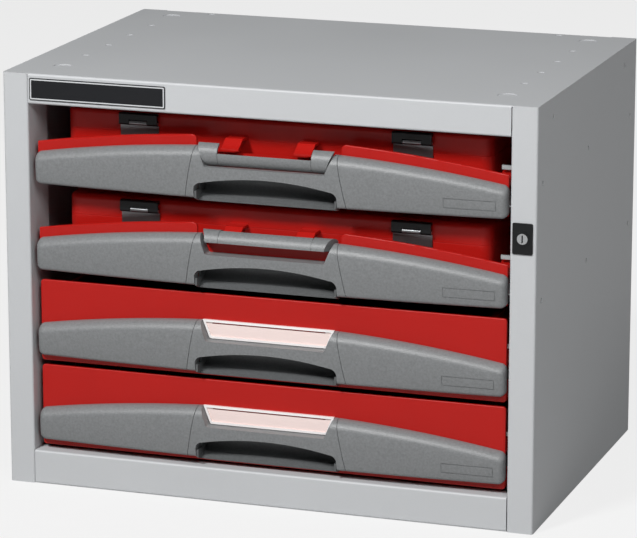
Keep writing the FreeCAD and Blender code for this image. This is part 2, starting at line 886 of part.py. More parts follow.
# Handle front, the same on cases and drawers

seam_gap_half = size.joint_gap / 2
recess_slope = (size.recess_top - size.recess_bottom) / (grip_top - size.recess_floor)


def bow(body):
    """Cut the front to its bow in plan."""
    reach = size.grip_half_width + size.cut_margin
    ahead = -forward - size.cut_margin
    plan = [(-reach, ahead), (reach, ahead), (reach, bow_at(reach), bow_radius, "right"),
            (-reach, bow_at(reach))]
    pocket(body, "XY", [plan], 0, grip_top + size.cut_margin)


def roll_top(body):
    """Roll the top of the front back."""
    soften(body, size.grip_roll, lambda middle, edge: middle.y < size.grip_back.number / 3
           and middle.z > size.grip_end_top.number + 1)


def round_foot(body):
    """Round the lower front edge."""
    soften(body, size.grip_edge, lambda middle, edge: middle.y < size.grip_back.number / 3
           and middle.z < size.grip_end_bottom.number + 1)


def inset_arcs(inset):
    """Radii and centre heights of the belly and crown arcs, moved inwards."""
    return belly_radius - inset, grip_bottom + belly_radius, crown_radius - inset, grip_top - crown_radius


def grip(label, side):
    """Hollow moulded grip with a rolled top, closed against the carrier behind it."""
    body = new_body(label, level_base(LEVELS - 1))
    pad(body, "XZ", [sided(grip_shape(0), side)], -forward, size.grip_back)
    bow(body)
    roll_top(body)
    round_foot(body)
    soften(body, size.grip_end_round, lambda middle, edge: close(abs(middle.x), size.grip_half_width)
           and middle.y < size.grip_roll.number)
    pocket(body, "XZ", [sided(grip_shape(size.grip_wall), side)], size.grip_setback + size.grip_wall,
           size.grip_back)
    if side == RIGHT:
        badge(body)
    return body


def grip_shape(inset):
    """One grip in elevation, drawn on the right, with every side moved inwards."""
    belly, belly_centre, crown, crown_centre = inset_arcs(inset)

    def belly_height(x):
        return belly_centre - root(belly * belly - x * x)

    def crown_height(x):
        return crown_centre + root(crown * crown - x * x)

    outer = size.grip_half_width - inset
    low = size.seam_bottom + seam_gap_half + inset
    high = size.seam_top + seam_gap_half + inset
    return [
        (low, belly_height(low), belly, "left"), (outer, belly_height(outer)),
        (outer, crown_height(outer), crown, "left"), (high, crown_height(high)),
    ]


def badge(body):
    """Bare outlined field near the outer end of the right grip, cut to an even depth."""
    right = size.grip_half_width - size.badge_inset
    left = right - size.badge_length
    low = size.badge_bottom
    high = low + size.badge_height
    line = size.badge_groove
    deep = bow_radius - size.badge_depth

    def behind(x):
        return bow_radius - forward - root(deep * deep - x * x)

    ahead = -forward - size.cut_margin
    for near, far, bottom, top in (
        (left, right, low, low + line), (left, right, high - line, high),
        (left, left + line, low + line, high - line), (right - line, right, low + line, high - line),
    ):
        plan = [(near, ahead), (far, ahead), (far, behind(far), deep, "right"), (near, behind(near))]
        pocket(body, "XY", [plan], bottom, top)


def hand_opening():
    """Arch of the hand opening, open at the bottom."""
    outer = size.hand_half_width
    inner = outer - size.hand_corner
    side = size.hand_side_top
    arch = (inner * inner + size.hand_crown * size.hand_crown) / (2 * size.hand_crown)
    return [
        (-outer, 0), (outer, 0), (outer, side - size.hand_corner, size.hand_corner, "left"),
        (inner, side, arch, "left"), (-inner, side, size.hand_corner, "left"),
        (-outer, side - size.hand_corner),
    ]


def recess_half(z, inset=0):
    """Half the width of the recess at a height."""
    return size.recess_bottom + recess_slope * (z - size.recess_floor) - inset


def recess(floor, top, inset):
    """Recess of the flap or window: a trapezoid with rounded lower corners."""
    corner = size.recess_corner
    low, bend, high = (recess_half(z, inset) for z in (floor, floor + corner, top))
    radius = size.recess_corner_radius
    return [
        (-(low - corner), floor), (low - corner, floor, radius, "left"), (bend, floor + corner),
        (high, top), (-high, top), (-bend, floor + corner, radius, "left"),
    ]


def handle_frame(label, level, turning):
    """Middle of the handle front: hand opening below, recess above."""
    body = new_body(label, level_base(level))
    low = size.seam_bottom - seam_gap_half
    high = size.seam_top - seam_gap_half
    outline = [
        (-low, belly_at(low), belly_radius, "left"), (low, belly_at(low)),
        (high, crown_at(high), crown_radius, "left"), (-high, crown_at(high)),
    ]
    pad(body, "XZ", [outline], -forward, size.grip_back)
    bow(body)
    roll_top(body)
    round_foot(body)
    pocket(body, "XZ", [hand_opening()], -forward - size.cut_margin, size.grip_back + size.cut_margin)
    pocket(body, "XZ", [recess(size.recess_floor, grip_top + size.cut_margin, 0)],
           -forward - size.cut_margin, size.grip_back + size.cut_margin)
    if turning:
        reach = recess_half(size.flap_axis_z) + size.trunnion_length + size.joint_gap
        pocket(body, "YZ", [circle(size.flap_axis_y, size.flap_axis_z,
                                   size.trunnion_diameter / 2 + size.fit_clearance)], -reach, reach)
    return body


def handle_pocket(label, level):
    """Finger pocket behind the hand opening: floor, curved back, ceiling and two ends."""
    body = new_body(label, level_base(level))
    wall = size.pocket_wall
    back = size.pocket_rear
    foot = size.pocket_lip + size.pocket_slope
    turn = back - size.pocket_bend
    outer = [
        (size.pocket_front, size.pocket_lip - wall),
        (turn, foot - wall, size.pocket_bend, "left"), (back, foot - wall + size.pocket_bend),
        (back, size.pocket_top),
    ]
    inner = [
        (size.grip_back, size.pocket_top), (size.grip_back, size.pocket_top - wall),
        (back - wall, size.pocket_top - wall),
        (back - wall, foot - wall + size.pocket_bend, size.pocket_bend - wall, "right"), (turn, foot),
        (size.pocket_front, size.pocket_lip),
    ]
    half = size.hand_half_width - size.joint_gap
    pad(body, "YZ", [outer + inner], -half, half)
    end = outer + [(size.grip_back, size.pocket_top), (size.grip_back, size.pocket_end_top),
                   (size.pocket_end_front, size.pocket_end_top),
                   (size.pocket_end_front, size.pocket_end_bottom)]
    for side in (LEFT, RIGHT):
        pad(body, "YZ", [end], *span(side, half - wall, half))
    return body


def screw_places():
    return [(side * x, size.boss_height) for side in (LEFT, RIGHT)
            for x in (size.boss_inner, size.boss_outer)]


def screw_circles(diameter):
    return [circle(x, z, diameter / 2) for x, z in screw_places()]


def front_screws(label, level):
    """Pan head screws through the front plate into the tub's bosses, hidden inside the grips."""
    body = new_body(label, level_base(level))
    head = size.grip_back - size.screw_head_height
    pad(body, "XZ", screw_circles(size.screw_head_diameter), head, size.grip_back)
    pad(body, "XZ", screw_circles(size.screw_diameter), size.grip_back, size.grip_back + size.screw_length)
    soften(body, size.screw_head_height / 3, lambda middle, edge: close(middle.y, head))
    return body


def drill_front(body):
    """Clearance holes for the screws in a front plate."""
    holes = screw_circles(size.screw_diameter + 2 * size.fit_clearance)
    pocket(body, "XZ", holes, size.grip_back - size.cut_margin, carrier_back + size.cut_margin)


def lock_catch(body):
    """Hook behind the right end of a front plate, held by the lock bar's finger."""
    hook = bar_back + size.catch_play
    rear = hook + size.catch_wall
    floor = size.catch_floor
    outline = [
        (carrier_back, floor - size.catch_wall / 2), (rear, floor - size.catch_wall / 2),
        (rear, size.catch_top), (hook, size.catch_top), (hook, floor), (carrier_back, floor),
    ]
    pad(body, "YZ", [outline], front_half - size.catch_width, front_half)


def front_carrier(label, level):
    """Plate behind the grips of a case; its arched lip shows above them."""
    body = new_body(label, level_base(level))

    def lip(x):
        return crown_at(x, size.lip_rise)

    inner = window_half
    corner = inner + size.lip_corner
    low = size.carrier_bottom
    outline = [
        (-front_half, low), (-inner, low), (-inner, window_top), (inner, window_top), (inner, low),
        (front_half, low), (front_half, lip(front_half), crown_radius, "left"),
        (corner, lip(corner), size.lip_corner, "left"), (inner, lip(corner) - size.lip_corner),
        (inner, size.carrier_bridge), (-inner, size.carrier_bridge),
        (-inner, lip(corner) - size.lip_corner, size.lip_corner, "left"),
        (-corner, lip(corner), crown_radius, "left"), (-front_half, lip(front_half)),
    ]
    pad(body, "XZ", [outline], size.grip_back, carrier_back)
    soften(body, size.lip_edge, lambda middle, edge: close(middle.y, size.grip_back)
           and middle.z > size.grip_end_top.number + size.lip_rise.number
           and abs(middle.x) > inner.number)
    lock_catch(body)
    drill_front(body)
    return body


def flap_point(radius, degrees):
    """Point of the flap's section, at a radius and an angle above the level of its axis, to the front."""
    return size.flap_axis_y - radius * cosine(degrees), size.flap_axis_z + radius * sine(degrees)


def flap_shell(top):
    """Section of the flap's curved leaf, from its foot up to an angle."""
    outer, inner = size.flap_radius, size.flap_radius - size.flap_shell
    foot = -size.flap_foot_angle
    return [flap_point(outer, top) + (outer, "left"), flap_point(outer, foot),
            flap_point(inner, foot) + (inner, "right"), flap_point(inner, top)]


def latch_flap(label, level):
    """Curved flap between the grips that turns up over the lid's lugs, on moulded trunnions."""
    body = new_body(label, level_base(level))
    outer = size.flap_radius
    ear_top = size.flap_ear_angle
    gap = size.recess_clearance
    low = size.flap_axis_z - outer - size.cut_margin
    high = size.flap_axis_z + outer
    wide = recess_half(high, gap)
    pad(body, "YZ", [flap_shell(size.flap_bar_angle)], -size.flap_ear, size.flap_ear)
    cheek = [flap_point(outer, ear_top) + (outer, "left"), flap_point(outer, -size.flap_foot_angle),
             (size.flap_axis_y, size.flap_axis_z)]
    groove = [circle(size.flap_axis_y, size.flap_axis_z, outer + size.cut_margin),
              circle(size.flap_axis_y, size.flap_axis_z, outer - size.flap_groove_depth)]
    trunnion = circle(size.flap_axis_y, size.flap_axis_z, size.trunnion_diameter / 2)
    for side in (LEFT, RIGHT):
        pad(body, "YZ", [flap_shell(ear_top)], *span(side, size.flap_ear, size.flap_cheek))
        pad(body, "YZ", [cheek], *span(side, size.flap_cheek, wide))
        waste = [(recess_half(low, gap), low), (wide + size.cut_margin, low),
                 (wide + size.cut_margin, high), (wide, high)]
        pocket(body, "XZ", [sided(waste, side)], -forward, size.flap_axis_y + outer)
        pocket(body, "YZ", groove, *span(side, size.flap_ear - size.flap_groove, size.flap_ear))
        pad(body, "YZ", [trunnion], *span(side, size.flap_cheek, recess_half(size.flap_axis_z)
                                          + size.trunnion_length))
    return body


# Carrying cases

hinge_y = size.case_rear + size.hinge_reach
hinge_z = size.case_body_height


def tub(body, front, rear, low, high):
    """A moulded box, open at the top, with rounded corners."""
    pad(body, "XY", [rounded_box(-tub_half, front, tub_half, rear, size.tub_corner)], low, high)
    soften(body, size.tub_edge, lambda middle, edge: close(middle.z, low))
    wall = size.tub_wall
    hollow = rounded_box(wall - tub_half, front + wall, tub_half - wall, rear - wall, size.tub_corner - wall)
    pocket(body, "XY", [hollow], low + wall, high)


def bosses(body, wall_front):
    """Bosses that carry the front plate ahead of the tub."""
    pad(body, "XZ", screw_circles(size.boss_diameter), carrier_back, wall_front + size.tub_wall / 2)
    pocket(body, "XZ", screw_circles(size.screw_diameter), carrier_back,
           size.grip_back + size.screw_length + size.cut_margin)


def knuckle(body, x_low, x_high, foot, radius):
    """One knuckle of a lid hinge, with its web down or up the rear wall."""
    web = [(size.case_rear - size.cut_margin, foot), (hinge_y, foot), (hinge_y, hinge_z),
           (size.case_rear - size.cut_margin, hinge_z)]
    if foot.number > hinge_z.number:
        web.reverse()
    pad(body, "YZ", [web], x_low, x_high)
    pad(body, "YZ", [circle(hinge_y, hinge_z, size.hinge_radius)], x_low, x_high)
    pocket(body, "YZ", [circle(hinge_y, hinge_z, radius)], x_low, x_high)


def case_body(label, level):
    """Lower half of a carrying case."""
    body = new_body(label, level_base(level))
    tub(body, size.case_wall_front, size.case_rear, as_length(0), size.case_body_height)
    soften(body, size.rim_bevel, lambda middle, edge: close(middle.z, size.case_body_height)
           and (abs(middle.x) > tub_half.number - 1 or middle.y < size.case_wall_front.number + 1),
           "Chamfer")
    bosses(body, size.case_wall_front)
    half = size.hinge_knuckle / 2
    for side in (LEFT, RIGHT):
        centre = side * size.hinge_centre
        knuckle(body, centre - half, centre + half, hinge_z - 2 * size.hinge_radius, size.hinge_pin / 2)
    return body


def case_lid(label, level):
    """Lid with a raised field, the lugs of the middle latch and the ribs of the draw clasps."""
    body = new_body(label, level_base(level))
    low = size.case_body_height
    roof = size.unit_height - size.lid_panel_rise
    wall = size.tub_wall
    front, rear = size.case_wall_front, size.case_rear
    pad(body, "XY", [rounded_box(-tub_half, front, tub_half, rear, size.tub_corner)], low, roof)
    soften(body, size.lid_corner, lambda middle, edge: close(middle.z, roof))
    inset = size.lid_panel_inset
    field = rounded_box(inset - tub_half, front + inset, tub_half - inset, rear - inset, size.tub_corner)
    pad(body, "XY", [field], roof, size.unit_height)
    hollow = rounded_box(wall - tub_half, front + wall, tub_half - wall, rear - wall, size.tub_corner - wall)
    pocket(body, "XY", [hollow], low, roof - wall)
    axis_y, axis_z = size.flap_axis_y, size.flap_axis_z
    arm_bottom = low + size.slide_clearance
    arm_top = arm_bottom + size.lug_arm
    lug = [
        (axis_y - size.lug_reach, axis_z + size.lug_tip_low),
        (axis_y + size.lug_root, axis_z + size.lug_tip_low),
        (axis_y + size.lug_elbow, arm_bottom), (front + wall / 2, arm_bottom),
        (front + wall / 2, arm_top), (axis_y + size.lug_elbow, arm_top),
        (axis_y + size.lug_root / 2, axis_z + size.lug_crest),
        (axis_y - size.lug_reach, axis_z + size.lug_tip_high),
    ]
    catch = box(front - size.catch_rib, size.catch_rib_top - size.catch_rib_height, front + wall / 2,
                size.catch_rib_top)
    hinge_near = size.hinge_knuckle / 2 + size.joint_gap
    for side in (LEFT, RIGHT):
        pad(body, "YZ", [lug], *span(side, size.lug_inner, size.lug_outer))
        pad(body, "YZ", [catch], *span(side, size.clasp_centre - size.clasp_width / 2,
                                       size.clasp_centre + size.clasp_width / 2))
        centre = side * size.hinge_centre
        for end in (LEFT, RIGHT):
            stretch = sorted((centre + end * hinge_near, centre + end * size.hinge_half_length),
                             key=lambda value: value.number)
            knuckle(body, stretch[0], stretch[1], hinge_z + 2 * size.hinge_radius,
                    size.hinge_pin / 2 + size.fit_clearance)
    return body


def lid_hinge_pins(label, level):
    pins = []
    for side in (LEFT, RIGHT):
        centre = side * size.hinge_centre
        start = (centre - size.hinge_half_length, hinge_y, hinge_z)
        pins.append(rod(label + "_rod", start, (1, 0, 0), size.hinge_pin / 2, 2 * size.hinge_half_length))
    return group(label, pins, level_base(level))


def clasp_circle(radius):
    return circle(size.clasp_axis_y, size.clasp_axis_z, radius)


def draw_clasp(label, level, side):
    """Moulded clasp that hooks over the lid's rib and swings forward on its pin."""
    body = new_body(label, level_base(level))
    near = size.clasp_centre - size.clasp_width / 2
    far = size.clasp_centre + size.clasp_width / 2
    front = size.clasp_axis_y - size.clasp_plate
    hook_bottom = size.catch_rib_top + size.catch_gap
    profile = [
        (front, size.clasp_axis_z), (size.clasp_axis_y, size.clasp_axis_z), (size.clasp_axis_y, hook_bottom),
        (size.clasp_axis_y + size.clasp_hook, hook_bottom),
        (size.clasp_axis_y + size.clasp_hook, size.clasp_top), (front, size.clasp_top),
    ]
    pad(body, "YZ", [profile], *span(side, near, far))
    pad(body, "YZ", [clasp_circle(size.clasp_barrel)], *span(side, near, far))
    soften(body, size.clasp_plate / 2, lambda middle, edge: close(middle.z, size.clasp_top)
           and close(middle.y, front))
    half = size.clasp_knuckle / 2 + size.joint_gap
    notch = box(size.clasp_centre - half, size.clasp_axis_z - size.clasp_barrel - size.joint_gap,
                size.clasp_centre + half, size.clasp_axis_z + size.clasp_barrel + size.joint_gap)
    pocket(body, "XZ", [sided(notch, side)], front - size.cut_margin,
           size.clasp_axis_y + size.clasp_barrel + size.cut_margin)
    pocket(body, "YZ", [clasp_circle(size.clasp_pin / 2 + size.fit_clearance)], *span(side, near, far))
    return body


def clasp_brackets(label, level):
    """Steel brackets on the case's front wall, with the knuckle that holds the clasp's pin."""
    body = new_body(label, level_base(level))
    wall = size.case_wall_front
    half = size.clasp_width / 2
    top = size.clasp_axis_z - size.clasp_barrel
    web = box(size.clasp_axis_y, top, wall - size.seam_gap, size.clasp_axis_z)
    for side in (LEFT, RIGHT):
        stretch = span(side, size.clasp_centre - size.clasp_knuckle / 2,
                       size.clasp_centre + size.clasp_knuckle / 2)
        plate = box(size.clasp_centre - half, size.bracket_bottom, size.clasp_centre + half,
                    top - size.seam_gap)
        pad(body, "XZ", [sided(plate, side)], wall - size.bracket_sheet, wall)
        neck = box(wall - size.bracket_sheet - size.seam_gap, top - size.bracket_sheet, wall, top)
        pad(body, "YZ", [neck], *stretch)
        pad(body, "YZ", [web], *stretch)
        pad(body, "YZ", [clasp_circle(size.clasp_barrel)], *stretch)
        pocket(body, "YZ", [clasp_circle(size.clasp_pin / 2)], *stretch)
    return body


def clasp_pins(label, level):
    pins = []
    for side in (LEFT, RIGHT):
        start = (side * size.clasp_centre - size.clasp_width / 2, size.clasp_axis_y, size.clasp_axis_z)
        pins.append(rod(label + "_rod", start, (1, 0, 0), size.clasp_pin / 2, size.clasp_width))
    return group(label, pins, level_base(level))


# Drawers

def drawer_tray(label, level):
    """Moulded tray with a rim and paired ribs for dividers."""
    body = new_body(label, level_base(level))
    front, rear, top = size.tray_front, size.tray_rear, size.tray_height
    tub(body, front, rear, as_length(0), top)
    wall = size.tub_wall
    out = size.tray_rim
    around = rounded_box(-tub_half - out, front - out / 2, tub_half + out, rear + out / 2,
                         size.tub_corner + out)
    within = rounded_box(wall - tub_half, front + wall, tub_half - wall, rear - wall, size.tub_corner - wall)
    pad(body, "XY", [around, within], top - size.tray_rim_height, top)
    bosses(body, front)
    inside = tub_half - wall
    rib = size.divider_rib
    apart = size.divider_rib_gap / 2
    for step in (1, 2, 3, 4):
        station = front + size.divider_pitch * step
        ribs = [sided(box(inside - rib, station + first, inside + wall / 2, station + second), side)
                for side in (LEFT, RIGHT)
                for first, second in ((-apart - rib, -apart), (apart, apart + rib))]
        pad(body, "XY", ribs, wall, top - size.divider_margin)
    return body


def drawer_front(label, level):
    """Red front panel: a rim behind its foot and left end, a window for the pocket, the lock's hook."""
    body = new_body(label, level_base(level))
    top = size.unit_height
    pad(body, "XZ", [rounded_box(-front_half, 0, front_half, top, size.front_corner)], size.grip_back,
        carrier_back)
    soften(body, size.lip_edge, lambda middle, edge: close(middle.y, size.grip_back))
    rim = size.front_rim_wall
    corner = size.front_corner
    turn = corner - rim
    edge = [
        (corner - front_half, 0), (front_half - corner, 0, corner, "left"), (front_half, corner),
        (front_half, size.boss_height), (front_half - rim, size.boss_height),
        (front_half - rim, corner, turn, "right"), (front_half - corner, rim),
        (corner - front_half, rim, turn, "right"), (rim - front_half, corner),
        (rim - front_half, top - corner), (-front_half, top - corner),
        (-front_half, corner, corner, "left"),
    ]
    pad(body, "XZ", [edge], carrier_back, size.grip_back + size.front_rim)
    window = box(-window_half, size.pocket_window_bottom, window_half, window_top)
    pocket(body, "XZ", [window], size.grip_back - size.cut_margin, carrier_back + size.cut_margin)
    lock_catch(body)
    drill_front(body)
    return body


def label_window(label, level):
    """Clear label window in the recess of a drawer's handle."""
    body = new_body(label, level_base(level))
    gap = size.recess_clearance
    rim = size.window_rim
    low = size.recess_floor + gap
    high = size.label_window_top
    front = size.grip_back - size.window_thickness
    pad(body, "XZ", [recess(low, high, gap)], front, size.grip_back)
    pocket(body, "XZ", [recess(low + rim, high - rim, gap + rim)], front, front + size.window_field)
    slot = box(-size.window_slot_half, high - rim - size.window_slot, size.window_slot_half, high - rim)
    pocket(body, "XZ", [slot], front, size.grip_back + size.cut_margin)
    return body


def follow(body, original, label):
    """Give a body the shape of another one."""
    base = document.addObject("PartDesign::FeatureBase", label + "_base")
    body.Group = [base]
    base.BaseFeature = original
    body.Tip = base


def copy_of(original, label, level):
    """The same moulding at another level."""
    body = new_body(label, level_base(level))
    follow(body, original, label)


def raised_flap(original, label, level):
    """The same flap at another level, turned up about its axis over the lid's lugs."""
    y, z = size.flap_axis_y, size.flap_axis_z
    turned_y = y * cosine(size.flap_turn) + z * sine(size.flap_turn)
    turned_z = z * cosine(size.flap_turn) - y * sine(size.flap_turn)
    body = document.addObject("PartDesign::Body", label)
    body.Placement.Rotation = FreeCAD.Rotation(FreeCAD.Vector(1, 0, 0), -size.flap_turn.number)
    place(body, label, 0, frame_front + y - turned_y, level_base(level) + z - turned_z)
    follow(body, original, label)


def units():
    """Cases on the two upper levels, drawers on the two lower ones."""
    top = LEVELS - 1
    shared = [
        (grip("case_1_left_grip", LEFT), "left_grip"), (grip("case_1_right_grip", RIGHT), "right_grip"),
        (handle_pocket("case_1_handle_pocket", top), "handle_pocket"),
        (front_screws("case_1_front_screws", top), "front_screws"),
    ]
    for original, name in shared:
        for unit, level in (("case_2", top - 1), ("drawer_1", 1), ("drawer_2", 0)):
            copy_of(original, "%s_%s" % (unit, name), level)
    case_parts = [
        (case_body("case_1_body", top), "body"), (case_lid("case_1_lid", top), "lid"),
        (front_carrier("case_1_front_carrier", top), "front_carrier"),
        (handle_frame("case_1_handle_frame", top, True), "handle_frame"),
        (draw_clasp("case_1_left_clasp", top, LEFT), "left_clasp"),
        (draw_clasp("case_1_right_clasp", top, RIGHT), "right_clasp"),
        (clasp_brackets("case_1_clasp_brackets", top), "clasp_brackets"),
    ]
    for original, name in case_parts:
        copy_of(original, "case_2_" + name, top - 1)
    raised_flap(latch_flap("case_1_latch_flap", top), "case_2_latch_flap", top - 1)
    for unit, level in (("case_1", top), ("case_2", top - 1)):
        lid_hinge_pins(unit + "_lid_hinge_pins", level)
        clasp_pins(unit + "_clasp_pins", level)
    drawer_parts = [
        (drawer_tray("drawer_1_tray", 1), "tray"), (drawer_front("drawer_1_front", 1), "front"),
        (handle_frame("drawer_1_handle_frame", 1, False), "handle_frame"),
        (label_window("drawer_1_label_window", 1), "label_window"),
    ]
    for original, name in drawer_parts:
        copy_of(original, "drawer_2_" + name, 0)


cabinet()
units()


# Finished assembly

document.recompute()
for item in document.Objects:
    if "Invalid" in item.State or "Error" in item.State:
        raise RuntimeError(item.Label + " did not compute")
for node in nodes:
    if node.Shape.isNull() or not node.Shape.isValid() or not node.Shape.Solids:
        raise RuntimeError(node.Label + " has no valid solid")
for body, feature in cuts:
    if feature.BaseFeature.Shape.Volume - feature.Shape.Volume < 0.01:
        raise RuntimeError("a cut misses " + body.Label)

os.makedirs("parts", exist_ok=True)
for node in nodes:
    node.Shape.exportStep("parts/%s.step" % node.Label)
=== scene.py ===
import math

import bmesh
import bpy
from bpy.props import FloatProperty, FloatVectorProperty, IntProperty, PointerProperty
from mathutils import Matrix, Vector


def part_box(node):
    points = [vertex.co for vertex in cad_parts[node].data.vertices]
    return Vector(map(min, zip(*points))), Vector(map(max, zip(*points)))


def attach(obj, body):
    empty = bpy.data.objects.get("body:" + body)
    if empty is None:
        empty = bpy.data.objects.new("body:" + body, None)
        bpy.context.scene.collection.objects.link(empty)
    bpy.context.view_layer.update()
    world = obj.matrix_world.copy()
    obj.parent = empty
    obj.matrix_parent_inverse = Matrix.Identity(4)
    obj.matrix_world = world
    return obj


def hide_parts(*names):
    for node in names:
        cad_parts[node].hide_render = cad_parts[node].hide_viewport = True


# Finishes, crowned handle fronts, small details and the studio for a sheet steel tool cabinet.
# Metres, Z up. The cabinet's front faces -Y and its footprint is centred on the origin.

bl_info = {
    "name": "Tool Cabinet Finish",
    "version": (1, 0, 0),
    "blender": (4, 5, 0),
    "location": "View3D > Sidebar > Tool Cabinet",
    "description": "Finishes and small details of a sheet steel tool cabinet",
    "category": "Object",
}

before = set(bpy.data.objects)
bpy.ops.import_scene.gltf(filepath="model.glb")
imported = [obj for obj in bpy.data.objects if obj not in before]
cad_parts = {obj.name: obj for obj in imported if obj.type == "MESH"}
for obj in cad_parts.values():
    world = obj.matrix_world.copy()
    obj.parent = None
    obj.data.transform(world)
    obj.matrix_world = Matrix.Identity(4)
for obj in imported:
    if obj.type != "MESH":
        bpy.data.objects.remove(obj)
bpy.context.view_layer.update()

PANELS = ["left_side_panel", "right_side_panel", "top_panel", "bottom_panel", "back_panel"]
CASES = ["case_1", "case_2"]
DRAWERS = ["drawer_1", "drawer_2"]
UNITS = CASES + DRAWERS
MM = 0.001

# Rise of the arcs along the top and the foot of a handle front, over its whole width
GRIP_CROWN = 19 * MM
GRIP_BELLY = 1.7 * MM
CROWN_CUTS = 28
SHARP_ANGLE = math.radians(32)

# Two places closer than this are the same
SLACK = 0.01 * MM

LABEL_CORNER = 1.5 * MM
CORNER_STEPS = 6

# A runner's sheet, and the welds' height over its lower edge
RUNNER_SHEET = 1.5 * MM
WELD_LINE = 9 * MM
DOME_SEGMENTS = 20
DOME_RINGS = 10

# How many marks of each kind lie side by side in one metre
CLOUDS_PER_METRE = 5.0
SKIN_RIPPLES_PER_METRE = 900.0
SPANGLES_PER_METRE = 120.0
HAZE_PER_METRE = 60.0
FIBRES_PER_METRE = 40.0

# Sockets of the mix node when it mixes colours: first colour, second colour, result
MIX_FIRST = 6
MIX_SECOND = 7
MIX_RESULT = 2

FLOOR_HALF = 30.0
FLOOR_DARK = "#BABABA"
FLOOR_LIGHT = "#C0C0C0"
FLOOR_GLOW = 0.8

# Degrees round from the front and up from level, and metres. The powers are in the studio's settings.
LAMP_AIM = (0, 0, 0.2)
LAMPS = {
    "key": {"width": 0.5, "azimuth": -18, "elevation": 43, "distance": 3.3},
    "second": {"width": 1.0, "azimuth": 32, "elevation": 36, "distance": 2.6},
    "rear": {"width": 1.4, "azimuth": 150, "elevation": 24, "distance": 2.8},
}

CAMERA_PLACE = (1.0998, -3.2416, 1.0436)
SENSOR_WIDTH = 36.0
CLIP_END = 100.0


def linear(hex_colour):
    """Linear RGB of an sRGB hex colour."""
    values = [int(hex_colour[place:place + 2], 16) / 255 for place in (1, 3, 5)]
    return tuple(v / 12.92 if v <= 0.04045 else ((v + 0.055) / 1.055) ** 2.4 for v in values)


def colour_property(name, description, hex_colour):
    """A colour that the user can change, from its sRGB hex default."""
    return FloatVectorProperty(name=name, description=description, subtype="COLOR", size=3,
                               min=0, max=1, default=linear(hex_colour))


class CabinetColours(bpy.types.PropertyGroup):
    powder: colour_property("Powder coat", "Grey of the folded sheets", "#C0C2C4")
    grip: colour_property("Grips", "Grey of the moulded handle fronts", "#7B7D7E")
    pocket: colour_property("Finger pocket", "Dark grey behind the hand opening", "#57595A")
    red: colour_property("Red mouldings", "Red of the cases, trays and fronts", "#B01610")
    black: colour_property("Black mouldings", "Black of the clasps and the lock plate", "#161718")
    label: colour_property("Label plate", "Near black field of the blank plate", "#1B1C1F")
    rim: colour_property("Label rim", "Pale line round the blank plate", "#C9CBCD")
    zinc: colour_property("Zinc", "Bright plated steel of runners and lock bar", "#C4C7C9")
    # The clasps' brackets are the same zinc plated steel as the runners; their darker grey is painted shade,
    # for brackets that sit in shadow under the grips.
    shaded_clasp_steel: colour_property("Clasp steel", "Duller plated steel of the clasps' brackets", "#96989A")
    border: colour_property("Window border", "White edge of the label windows", "#F7F3F2")
    # The label windows are clear plastic; their pale pink near-white colour is a painted reflection of a
    # white lamp, not the plastic's own tint.
    window: colour_property("Label window", "Tint of the clear label windows", "#FFEAE5")


class CabinetGrain(bpy.types.PropertyGroup):
    peel: FloatProperty(name="Orange peel", description="Width of the powder coat's ripples", default=0.0022,
                        min=0.0005, subtype="DISTANCE", unit="LENGTH")
    leather: FloatProperty(name="Grip grain", description="Width of the grips' moulded grain",
                           default=0.0013, min=0.0003, subtype="DISTANCE", unit="LENGTH")
    flow: FloatProperty(name="Flow marks", description="Width of the red mouldings' soft flow marks",
                        default=0.05, min=0.005, subtype="DISTANCE", unit="LENGTH")
    brush: FloatProperty(name="Rolling lines", description="Spacing of the lines in rolled steel",
                         default=0.0006, min=0.0002, subtype="DISTANCE", unit="LENGTH")


class CabinetDetails(bpy.types.PropertyGroup):
    rim_width: FloatProperty(name="Rim width", description="Width of the pale line round the label plate",
                             default=0.0011, min=0.0003, subtype="DISTANCE", unit="LENGTH")
    rim_inset: FloatProperty(name="Rim inset", description="Distance of that line from the plate's edge",
                             default=0.0009, min=0.0002, subtype="DISTANCE", unit="LENGTH")
    rim_height: FloatProperty(name="Rim height", description="Height of that line over the plate",
                              default=0.0002, min=0.00005, subtype="DISTANCE", unit="LENGTH")
    crest: FloatProperty(name="Crest", description="Height of the most forward line of the handle fronts, "
                         "as a share of their height", default=0.66, min=0.3, max=0.9)
    lean_low: FloatProperty(name="Lower lean", description="How far the fronts fall back at their foot",
                            default=0.0034, min=0, subtype="DISTANCE", unit="LENGTH")
    lean_high: FloatProperty(name="Upper lean", description="How far they fall back below the rolled top",
                             default=0.0024, min=0, subtype="DISTANCE", unit="LENGTH")
    weld_radius: FloatProperty(name="Weld radius", description="Radius of a spot weld's mark",
                               default=0.003, min=0.001, subtype="DISTANCE", unit="LENGTH")
    weld_height: FloatProperty(name="Weld height", description="Height of a spot weld's mark",
                               default=0.0003, min=0.0001, subtype="DISTANCE", unit="LENGTH")
    weld_count: IntProperty(name="Welds along a runner", description="Spot welds in one runner's flange",
                            default=5, min=2, max=12)


class CabinetStudio(bpy.types.PropertyGroup):
    azimuth: FloatProperty(name="Azimuth", description="Turn of the camera to the cabinet's right",
                           default=math.radians(18.88), subtype="ANGLE", unit="ROTATION")
    elevation: FloatProperty(name="Elevation", description="Height of the camera over the level view",
                             default=math.radians(14.03), subtype="ANGLE", unit="ROTATION")
    lens: FloatProperty(name="Lens", description="Focal length on a 36 mm wide sensor", default=204.9,
                        unit="CAMERA")
    key: FloatProperty(name="Key light", description="Power of the lamp at the front left",
                       default=84.0, unit="POWER")
    second: FloatProperty(name="Second light", description="Power of the wide lamp at the front right",
                          default=22.0, unit="POWER")
    rear: FloatProperty(name="Rear light", description="Power of the wide lamp behind on the right",
                        default=14.0, unit="POWER")
    fill: FloatProperty(name="Room light", description="Strength of the even light from all around",
                        default=0.04)


